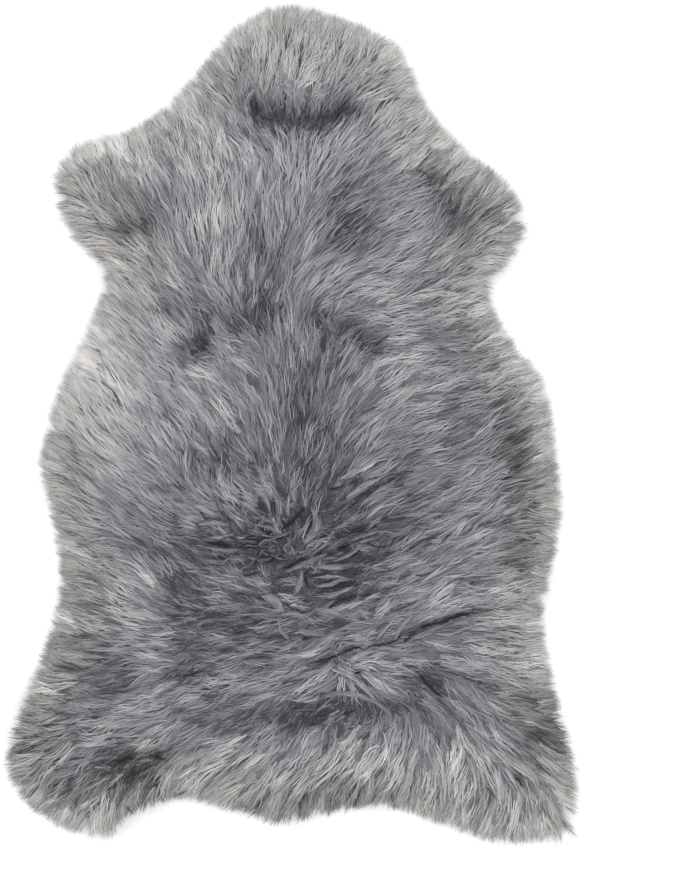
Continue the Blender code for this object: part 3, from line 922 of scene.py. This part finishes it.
def lie_at(places):
    """How tousled the wool is at each place, and how deep its relief is beside the usual."""
    tousled, relief = np.zeros(len(places)), np.full(len(places), USUAL_RELIEF)
    for row in LIES:
        gap = ((places - np.array([row.x_mm, row.y_mm]) * MM) ** 2).sum(axis=1)
        fall = np.exp(-gap / (row.reach_mm * MM) ** 2)
        tousled = np.maximum(tousled, row.tousled * fall)
        relief += row.relief * fall
    return tousled, relief


def smoothed(points):
    """The line over these places, in metres, with its corners cut twice."""
    line = np.array(points) * MM
    for _ in range(2):
        first, second = line[:-1] * 0.75 + line[1:] * 0.25, line[:-1] * 0.25 + line[1:] * 0.75
        cut = np.stack([first, second], axis=1).reshape(-1, 2)
        line = np.concatenate([line[:1], cut, line[-1:]])
    return line


def parted(places):
    """The places pushed out of the slits, and how far into a slit each of them lay, from 0 to 1."""
    places, inside = places.copy(), np.zeros(len(places))
    for row in SLITS:
        line = smoothed(row.points)
        widest = row.width_mm * MM * SLIT_HALF + SLIT_BANK
        beside = (places > line.min(axis=0) - widest) & (places < line.max(axis=0) + widest)
        near = np.flatnonzero(beside.all(axis=1))
        run = line[1:] - line[:-1]
        share = ((places[near, None] - line[:-1]) * run).sum(axis=2) / (run**2).sum(axis=1)
        share = share.clip(0, 1)
        gap = places[near, None] - line[:-1] - share[:, :, None] * run
        distance = np.linalg.norm(gap, axis=2)
        nearest = distance.argmin(axis=1)
        picked = np.arange(len(near))
        distance, gap = distance[picked, nearest] + 1e-7, gap[picked, nearest]
        how_far = (nearest + share[picked, nearest]) / len(run)
        # A slit is widest at its middle, and closes towards its ends.
        half = row.width_mm * MM * SLIT_HALF * np.sin(math.pi * how_far.clip(0.02, 0.98)) ** 0.6
        pushed = half + distance * SLIT_BANK / (half + SLIT_BANK)
        push = np.where(distance < half + SLIT_BANK, pushed - distance, 0.0)
        places[near] += gap / distance[:, None] * push[:, None]
        deep = (1 - distance / (half + SLIT_BANK)).clip(0, 1) * (half / SLIT_FULL).clip(0, 1)
        inside[near] = np.maximum(inside[near], deep)
    return places, inside


def turned(way, angle):
    cos, sin = np.cos(angle), np.sin(angle)
    return np.stack([way[:, 0] * cos - way[:, 1] * sin, way[:, 0] * sin + way[:, 1] * cos], axis=1)


# Roots, and the wisp, the tuft and the clump that each belongs to.
root_spacing = math.sqrt(skin_area / STRANDS)
roots, more_roots = scattered(root_spacing), scattered(root_spacing)
root_gap, root_outward = signed_distance(roots)
more_gap, more_outward = signed_distance(more_roots)
more_tousled = lie_at(more_roots)[0] > DENSELY_TOUSLED
kept = root_gap > RIM_ROOTS
added = (more_gap > RIM_ROOTS) & ((more_gap < RIM_BAND) | more_tousled)
roots = np.concatenate([roots[kept], more_roots[added]])
root_gap = np.concatenate([root_gap[kept], more_gap[added]])
root_outward = np.concatenate([root_outward[kept], more_outward[added]])
count = len(roots)
tufts = scattered(TUFT.spacing)
clumps = scattered(CLUMP.spacing)
wisps = scattered(WISP.spacing)
tuft_of = nearest_of(tufts, roots)
wisp_of = nearest_of(wisps, roots)
clump_of_tuft = nearest_of(clumps, tufts)

tuft_way, tuft_sure = combed(tufts)
tuft_tousle, tuft_relief = lie_at(tufts)
unsure = (1 - tuft_sure / SURELY_COMBED).clip(0, 1)
tuft_tousle = np.maximum(tuft_tousle, UNSURE_TOUSLE * unsure)
tuft_gap, tuft_outward = signed_distance(tufts)
edge_pull = (1 - (tuft_gap / RIM_TURN_WIDTH).clip(0, 1))[:, None] * RIM_TURN
tuft_way = tuft_way * (1 - edge_pull) + tuft_outward * edge_pull
tuft_way /= np.linalg.norm(tuft_way, axis=1)[:, None] + 1e-9
clump_turn = np.radians(CLUMP.turn) * draw.normal(size=len(clumps))
tuft_turn = np.radians(TUFT.turn + TOUSLED_TUFT_TURN * tuft_tousle) * draw.normal(size=len(tufts))
tuft_way = turned(tuft_way, tuft_turn + clump_turn[clump_of_tuft])
tuft_bend = np.radians(TUFT_BEND + TOUSLED_TUFT_BEND * tuft_tousle) * draw.normal(size=len(tufts))
clump_lift = CLUMP.height * draw.normal(size=len(clumps))
tuft_lift = TUFT.height * (1 + TOUSLED_LIFT * tuft_tousle) * draw.normal(size=len(tufts))
tuft_lift = (tuft_lift + clump_lift[clump_of_tuft]) * tuft_relief
tuft_reach = (1 + TUFT_REACHES * draw.normal(size=len(tufts))) * (1 - TOUSLED_SHORTER * tuft_tousle)
tuft_phase = draw.uniform(0, 2 * math.pi, len(tufts))
tuft_wave = TUFT.wave * draw.uniform(*WAVES, len(tufts)) * (1 + tuft_tousle)
clump_tone = CLUMP.tone * draw.normal(size=len(clumps)).clip(*CLUMP_TONES)
tuft_tone = TUFT.tone * draw.normal(size=len(tufts)).clip(*TUFT_TONES)
tuft_tone += clump_tone[clump_of_tuft]

wisp_turn = np.radians(WISP.turn) * draw.normal(size=len(wisps))
wisp_reach = draw.uniform(*WISP_REACHES, len(wisps))
wisp_wave = WISP.wave * draw.uniform(*WAVES, len(wisps))
wisp_phase = draw.uniform(0, 2 * math.pi, len(wisps))
wisp_depth = WISP.height * draw.uniform(0, 1, len(wisps)) ** 1.4
wisp_tone = WISP.tone * draw.normal(size=len(wisps)).clip(*WISP_TONES)
wisp_share = draw.uniform(*SHADED_WISPS, len(wisps))

tousle, relief = tuft_tousle[tuft_of], tuft_relief[tuft_of]
own_turn = np.radians(STRAND.turn + TOUSLED_STRAND_TURN * tousle) * draw.normal(size=count)
own_turn += wisp_turn[wisp_of] * (1 + TOUSLED_WISP_TURN * tousle)
way = turned(tuft_way[tuft_of], own_turn)
side = np.stack([-way[:, 1], way[:, 0]], axis=1)
reach = STRAND_REACH * tuft_reach[tuft_of] * wisp_reach[wisp_of]
reach = reach * draw.uniform(*STRAND_REACHES, count)
reach *= 1 - PARTED_SHORTER * (shade_at(roots)[1] / PARTED_DEPTH).clip(0, 1)
leaving = (way * root_outward).sum(axis=1).clip(GRAZING, 1)
farthest = OVERHANG + root_gap + RIM_RAGGED * draw.uniform(-1.2, 1.0, count)
to_outline = (farthest / leaving).clip(*RIM_REACHES)
at_rim = root_gap < RIM_BAND
rim_reach = to_outline * draw.uniform(*RIM_SHARES, count)
reach = np.where(at_rim, rim_reach, np.minimum(reach, to_outline))
setback = TOUSLED_SETBACK * tousle * reach


def sideways(centres, index, spacing, furthest):
    """How far each root lies to the side of its group's middle, in metres and as a capped share."""
    offset = ((roots - centres[index]) * side).sum(axis=1)
    return offset, (np.abs(offset) / (0.5 * spacing)).clip(0, furthest)


lock_offset, lock_side = sideways(tufts, tuft_of, TUFT.spacing, LOCK_SIDE)
wisp_offset, wisp_side = sideways(wisps, wisp_of, WISP.spacing, LOCK_SIDE)
clump_offset, clump_side = sideways(clumps, clump_of_tuft[tuft_of], CLUMP.spacing, CLUMP_SIDE)
lock_hollow = LOCK_HOLLOW * relief * lock_side**2
clump_hollow = CLUMP_HOLLOW * relief * clump_side**2
wisp_hollow = WISP_HOLLOW * (WISP_SLEEK + (1 - WISP_SLEEK) * relief) * wisp_side**2
gathering = RIM_GATHER + (1 - RIM_GATHER) * (root_gap / RIM_GATHER_WIDTH).clip(0, 1)
bend = tuft_bend[tuft_of] + np.radians(STRAND_BEND) * draw.normal(size=count)
bend = np.where(np.abs(bend) < LEAST_BEND, LEAST_BEND, bend)
own_wave = STRAND.wave * draw.uniform(*STRAND_WAVES, count)
own_phase = draw.uniform(0, 2 * math.pi, count)
sleekness = (USUAL_RELIEF - relief).clip(0, 1)
width = STRAND_WIDTH * draw.uniform(*STRAND_WIDTHS, count) * (1 + SLEEK_WIDER * sleekness)
own_depth = (STRAND.height * draw.uniform(0, 1, count) + wisp_depth[wisp_of]) * relief
# Tousled wool is matted at its roots as well, so it covers the under-wool even where it diverges.
bury = (UNDER_DEPTH + BURIED) * (1 - TOUSLED_ROOTS * tousle)
roll_angle = np.radians(STRAND_ROLL) * draw.normal(size=count)

rings = []
# Painted shade: how far into a slit's banks each strand reaches, for its darkening.
slit_shade_share = np.zeros(count)
for t in ALONG:
    gather = WISP_GATHER * wisp_offset + LOCK_GATHER * lock_offset + CLUMP_GATHER * clump_offset
    gather = -t**1.2 * gathering * gather
    wave = tuft_wave[tuft_of] * np.sin(tuft_phase[tuft_of] + TUFT_CURL * t) * t
    for height, phase in ((wisp_wave[wisp_of], wisp_phase[wisp_of]), (own_wave, own_phase)):
        wave = wave + height * np.sin(phase + STRAND_CURL * t) * min(1.0, 2 * t)
    # Each tuft bends evenly along its length, to one side or the other of its own direction.
    at = t**1.1 - 0.5
    ahead = reach * (np.sin(bend * at) + np.sin(bend / 2)) / bend - setback
    aside = reach * (np.cos(bend / 2) - np.cos(bend * at)) / bend
    plan = roots + way * ahead[:, None] + side * (aside + gather + wave)[:, None]
    plan, inside = parted(plan)
    slit_shade_share = np.maximum(slit_shade_share, inside * (t > 0))
    sunk = shade_at(plan)[1] + SLIT_DEPTH * inside
    # The hollows and the tufts' own heights grow or fade from root to tip.
    depth = own_depth + wisp_hollow + lock_hollow * (1 - 0.5 * t) + clump_hollow * (1 - 0.3 * t) + sunk
    depth = depth - tuft_lift[tuft_of] * (0.3 + 0.7 * t) * (1 - 3 * inside).clip(0, 1)
    depth = np.minimum(depth, UNDER_DEPTH - LEAST_COVER)
    depth = depth + (bury - depth).clip(0, None) * (1 - t) ** 3.2
    inset = OVERHANG + signed_distance(plan)[0]
    surface = np.where(inset > 0, wool_surface(plan), RIM_HEIGHT)
    height = np.maximum(surface - depth, LOWEST + 0.5 * width)
    rings.append(np.concatenate([plan, height[:, None]], axis=1))
path = np.stack(rings, axis=1)

# A dark patch has ragged sides, since a wisp is mostly of one tone over its whole width.
shade, sunk = shade_at(path[:, 1, :2])
wisp_size = np.bincount(wisp_of, minlength=len(wisps)).clip(1, None)
wisp_middle = [np.bincount(wisp_of, path[:, 1, k], len(wisps)) / wisp_size for k in (0, 1)]
wisp_shade = shade_at(np.stack(wisp_middle, axis=1))[0][wisp_of]
shade = SHADE_OF_STRAND * shade + (1 - SHADE_OF_STRAND) * wisp_shade
# Painted shade: the tone darkens where the wool lies lower, and follows the finest hollows and the highest
# tufts less than their heights do.
hollow = own_depth + 0.4 * wisp_hollow + 0.7 * (lock_hollow + clump_hollow) + sunk
hollow -= 0.4 * tuft_lift[tuft_of].clip(None, 0.003)
# Painted light towards the rim.
rim_painted_light = RIM_PAINTED_LIGHT * (1 - (root_gap / RIM_PAINTED_LIGHT_WIDTH).clip(0, 1))
# A dark patch isn't evenly dark: some of its wisps, and some strands of each, keep the usual tone.
shade *= np.where(shade < 0, wisp_share[wisp_of], 1.0)
shaded = np.abs(shade.clip(None, 0))
own_tone = (STRAND.tone + SHADED_STRANDS * shaded) * draw.normal(size=count)
own_tone += wisp_tone[wisp_of] * (1 + TOUSLED_WISP_TONE * tousle + SHADED_WISP_TONE * shaded)
# Sleek wool is of a more even tone than rumpled wool.
spread_tone = (SLEEK_TONES + ROUGH_TONES * relief) * (tuft_tone[tuft_of] + own_tone)
tone = USUAL_TONE + shade + rim_painted_light + spread_tone
# Painted shade where the wool lies lower, and on strands over a slit's banks.
tone -= HOLLOW_SHADE_TONE * (hollow - hollow.mean()) + SLIT_BANK_SHADE * slit_shade_share
tone = np.maximum(tone, DARKEST_TONE + DARKEST_TONES * draw.uniform(-1, 1, count))

for row, kind in [(row, IN_LOCK) for row in LOCKS] + [(row, IN_SLIT_SHADOW) for row in SLITS]:
    line = smoothed(np.array(row.points) + draw.normal(0, LINE_JITTER, (len(row.points), 2)))
    reached = np.concatenate([[0], np.cumsum(np.linalg.norm(np.diff(line, axis=0), axis=1))])
    half_width = row.width_mm * MM * kind.half
    n = kind.fewest + int(kind.density * LAID_STRANDS * half_width * reached[-1])
    length = draw.uniform(kind.shortest, kind.longest, n)
    begun = draw.uniform(0, 1, n) * (1 - length.mean() / reached[-1]).clip(0.2, 1)
    ended = np.minimum(1.0, begun + length / reached[-1])
    beside = draw.normal(0, kind.spread, n).clip(-1.5, 1.5)
    drift = kind.drift * draw.normal(size=n)
    own_low = kind.low * draw.uniform(0, 1, n) ** 1.5
    lift = LAID_LIFT if kind is IN_LOCK else SLIT_LIFT * draw.uniform(*SLIT_LIFTS, n)
    phase, waviness = draw.uniform(0, 2 * math.pi, n), LAID_WAVE * draw.uniform(*STRAND_WAVES, n)
    rings = []
    for t in ALONG:
        share = begun + (ended - begun) * t
        # The places on the line at this share, a little ahead of it and a little behind.
        at, ahead, behind = (
            np.stack([np.interp((share + s) * reached[-1], reached, line[:, k]) for k in (0, 1)], axis=1)
            for s in (0, 0.04, -0.04)
        )
        along = ahead - behind
        along /= np.linalg.norm(along, axis=1)[:, None]
        girth = np.sin(math.pi * (0.10 + 0.84 * share)) ** 0.7
        aside = (beside + drift * (t - 0.4)) * girth * half_width
        aside += waviness * np.sin(phase + LAID_CURL * t)
        plan = at + np.stack([-along[:, 1], along[:, 0]], axis=1) * aside[:, None]
        back = lift * (1 - beside**2) * girth - LAID_BURIED * (1 - t) ** 3 - own_low
        height = wool_surface(plan) - shade_at(plan)[1] + back
        rings.append(np.concatenate([plan, height[:, None]], axis=1))
    laid = np.stack(rings, axis=1)
    path = np.concatenate([path, laid])
    if kind is IN_LOCK:
        laid_shade = LOCK_SHADE * shade_at(laid[:, 1, :2])[0]
        # Painted shade on the lock's lower sides.
        laid_tone = USUAL_TONE + row.tone + laid_shade - LOCK_SIDE_SHADE * beside**2
        laid_tone += LOCK_TONES * draw.normal(size=n)
    else:
        # Painted shadow: a slit's strands are near black.
        laid_tone = draw.uniform(*SLIT_SHADOW_TONES, n) + THIN_SLIT_SHADOW_TONE * max(0, THIN_SLIT - row.width_mm)
    tone = np.concatenate([tone, laid_tone])
    width = np.concatenate([width, STRAND_WIDTH * draw.uniform(*LAID_WIDTHS, n)])
    roll_angle = np.concatenate([roll_angle, np.radians(LAID_ROLL) * draw.normal(size=n)])
    root_gap = np.concatenate([root_gap, np.full(n, 0.1)])
count = len(path)

tangent = np.gradient(path, axis=1)
tangent /= np.linalg.norm(tangent, axis=2)[:, :, None]
across = np.cross(tangent, np.array([0.0, 0.0, 1.0]))
across /= np.linalg.norm(across, axis=2)[:, :, None] + 1e-9
upward = np.cross(across, tangent)
cos, sin = np.cos(roll_angle)[:, None, None], np.sin(roll_angle)[:, None, None]
across, upward = across * cos + upward * sin, upward * cos - across * sin

# Each of a strand's three rings has a left corner, a crown and a right corner; its tip has one.
ring_width = (width[:, None] * TAPER)[:, :, None]
ring_places = path[:, :3]
left = ring_places - across[:, :3] * ring_width / 2
right = ring_places + across[:, :3] * ring_width / 2
crown = ring_places + upward[:, :3] * ring_width * CROWN
corners = np.stack([left, crown, right], axis=2).reshape(count, 9, 3)
strand_verts = np.concatenate([corners, path[:, 3:4]], axis=1)

band = (tone.clip(0, 0.999) * BANDS).astype(int)
warmth = (1 - (root_gap / WARM_WIDTH).clip(0, 1)) * WARM_SHARE > draw.uniform(0, 1, count)

# One strand's faces, by its own corners, and their places on the wool's map: two rings of three
# sides, three sides of the tip, and the root's end.
STRAND_FACES = []
STRAND_MAP = []
for ring in range(3):
    low, high = 3 * ring, 3 * ring + 3
    v0, v1 = ALONG[ring], ALONG[ring + 1]
    for corner in range(3):
        following = (corner + 1) % 3
        u0, u1 = corner / 2, following / 2
        if ring < 2:
            STRAND_FACES.append((low + corner, low + following, high + following, high + corner))
            STRAND_MAP.append(((u0, v0), (u1, v0), (u1, v1), (u0, v1)))
        else:
            STRAND_FACES.append((low + corner, low + following, high))
            STRAND_MAP.append(((u0, v0), (u1, v0), ((u0 + u1) / 2, v1)))
STRAND_FACES.append((2, 1, 0))
STRAND_MAP.append(((1.0, 0.0), (0.5, 0.0), (0.0, 0.0)))
CORNERS = np.array([index for face in STRAND_FACES for index in face])
MAP = np.array([place for face in STRAND_MAP for place in face])
SIZES = np.array([len(face) for face in STRAND_FACES])


def strands_mesh(name, chosen):
    """One mesh of all the chosen strands."""
    n = len(chosen)
    mesh = bpy.data.meshes.new(name)
    mesh.vertices.add(10 * n)
    mesh.vertices.foreach_set("co", strand_verts[chosen].astype(np.float32).ravel())
    loops = (CORNERS[None, :] + 10 * np.arange(n)[:, None]).ravel()
    mesh.loops.add(len(loops))
    mesh.loops.foreach_set("vertex_index", loops)
    sizes = np.tile(SIZES, n)
    mesh.polygons.add(len(sizes))
    mesh.polygons.foreach_set("loop_start", np.concatenate([[0], np.cumsum(sizes)[:-1]]))
    mesh.polygons.foreach_set("use_smooth", np.zeros(len(sizes), dtype=bool))
    mesh.update(calc_edges=True)
    uv = np.empty((n, len(MAP), 2), dtype=np.float32)
    in_band = BAND_MARGIN + (1 - 2 * BAND_MARGIN) * MAP[None, :, 0]
    uv[:, :, 0] = (band[chosen][:, None] + in_band) / BANDS
    in_half = TIP_MARGIN + (1 - 2 * TIP_MARGIN) * MAP[None, :, 1]
    uv[:, :, 1] = 0.5 * warmth[chosen][:, None] + 0.5 * in_half
    layer = mesh.uv_layers.new(name="OFBake")
    layer.uv.foreach_set("vector", uv.ravel())
    return mesh


def calculated(tree, operation, value, by=0.0):
    node = add_node(tree, "ShaderNodeMath", operation=operation)
    node.inputs[1].default_value = by
    tree.links.new(value, node.inputs[0])
    return node.outputs["Value"]


def long_wool_material():
    """Dyed wool in bands of tone, with fibres along it: dark at the root and pale at the tip, partly dye and
    partly painted shade deep in the pile.
    """
    material, tree, shader = new_material("long_wool", 0.70)
    place = add_node(tree, "ShaderNodeUVMap", uv_map="OFBake").outputs["UV"]
    parts = tree.nodes.new("ShaderNodeSeparateXYZ")
    tree.links.new(place, parts.inputs["Vector"])
    # The map's lower half is the cool grey, and its upper half the warm one.
    along = calculated(tree, "FRACT", calculated(tree, "MULTIPLY", parts.outputs["Y"], 2.0))
    warm = calculated(tree, "GREATER_THAN", parts.outputs["Y"], 0.5)
    # The near-black lowest stops of both greys chiefly give the slits' painted shadow.
    cool_grey = [
        (0.0, (0.006, 0.006, 0.007)),
        (0.05, (0.030, 0.031, 0.036)),
        (0.12, (0.118, 0.119, 0.133)),
        (0.25, (0.183, 0.184, 0.201)),
        (0.5, (0.299, 0.300, 0.316)),
        (0.75, (0.469, 0.470, 0.477)),
        (1.0, (0.680, 0.680, 0.672)),
    ]
    warm_grey = [
        (0.0, (0.006, 0.006, 0.006)),
        (0.05, (0.032, 0.030, 0.028)),
        (0.12, (0.132, 0.122, 0.114)),
        (0.25, (0.200, 0.188, 0.178)),
        (0.5, (0.315, 0.302, 0.288)),
        (0.75, (0.490, 0.475, 0.455)),
        (1.0, (0.690, 0.670, 0.645)),
    ]
    dyed = add_node(tree, "ShaderNodeMix", data_type="RGBA")
    tree.links.new(warm, dyed.inputs["Factor"])
    tree.links.new(ramp(tree, parts.outputs["X"], cool_grey), dyed.inputs["A"])
    tree.links.new(ramp(tree, parts.outputs["X"], warm_grey), dyed.inputs["B"])
    # Painted shade: each strand is darker towards its root, partly its dye and partly the shade deep in the
    # pile.
    root_dye_and_shade = [(0.0, (0.74, 0.74, 0.75)), (0.28, (0.94, 0.94, 0.95)), (1.0, (1.03, 1.03, 1.03))]
    lit = product(tree, dyed.outputs["Result"], ramp(tree, along, root_dye_and_shade))
    stretch = tree.nodes.new("ShaderNodeMapping")
    stretch.inputs["Scale"].default_value = (420.0, 9.0, 1.0)
    tree.links.new(place, stretch.inputs["Vector"])
    fibres = noise(tree, stretch.outputs["Vector"], Scale=1.0, Detail=2.0, Roughness=0.6)
    streak = ramp(tree, fibres, [(0.3, (0.94, 0.94, 0.94)), (0.7, (1.04, 1.04, 1.04))])
    tree.links.new(product(tree, lit, streak), shader.inputs["Base Color"])
    tree.links.new(bumped(tree, fibres, 0.3, 0.0005), shader.inputs["Normal"])
    shader.inputs["Sheen Weight"].default_value = 0.06
    shader.inputs["Specular IOR Level"].default_value = 0.25
    return material


long_wool = long_wool_material()
order = np.argsort(-path[:, 0, 1], kind="stable")
for name, chosen in zip(WOOL_NAMES, np.array_split(order, len(WOOL_NAMES))):
    piece = placed(strands_mesh(name, chosen))
    piece.data.materials.append(long_wool)
    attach(piece, "root")
    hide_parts("pelt")

# ---------------------------------------------------------------------------------------------
# The setting: a plain pale floor, soft studio light from the upper left, and a camera straight
# above the rug, which frames it as the photograph does.
# ---------------------------------------------------------------------------------------------
FRAME_HEIGHT = 0.984  # of floor that the picture takes in, top to bottom
FRAME_ASIDE = 0.054  # of its middle, to the right of the rug's
FRAME_BELOW = 0.0135
LENS = 85.0
SENSOR = 36.0
FLOOR_HALF = 6.0
PALE = (0.86, 0.86, 0.86, 1.0)
STUDIO_GLOW = 0.78

floor_bm = bmesh.new()
bmesh.ops.create_grid(floor_bm, x_segments=1, y_segments=1, size=FLOOR_HALF)
floor = placed(finished_mesh(floor_bm, "floor"))
floor_material, _, floor_shader = new_material("pale_floor", 0.9)
floor_shader.inputs["Base Color"].default_value = PALE
floor.data.materials.append(floor_material)


def area_light(name, place, size, watts):
    """A square white light that faces the rug's middle."""
    data = bpy.data.lights.new(name, "AREA")
    data.size = size
    data.energy = watts
    light = placed(data)
    light.location = place
    light.rotation_euler = (-Vector(place)).to_track_quat("-Z", "Y").to_euler()


area_light("key", (-1.6, 1.5, 1.9), 1.2, 24)
area_light("fill", (1.8, -0.8, 1.8), 2.0, 16)
area_light("overhead", (0.0, 0.0, 2.6), 2.4, 26)
world = bpy.data.worlds.new("studio")
world.use_nodes = True
sky = world.node_tree.nodes["Background"]
sky.inputs["Color"].default_value = (1, 1, 1, 1)
sky.inputs["Strength"].default_value = STUDIO_GLOW

camera_data = bpy.data.cameras.new("camera")
camera_data.lens = LENS
camera_data.sensor_width = SENSOR
camera = placed(camera_data)
camera.location = (FRAME_ASIDE, -FRAME_BELOW, FRAME_HEIGHT * LENS / SENSOR)
scene = bpy.context.scene
scene.world = world
scene.camera = camera
scene.view_settings.view_transform = "Standard"
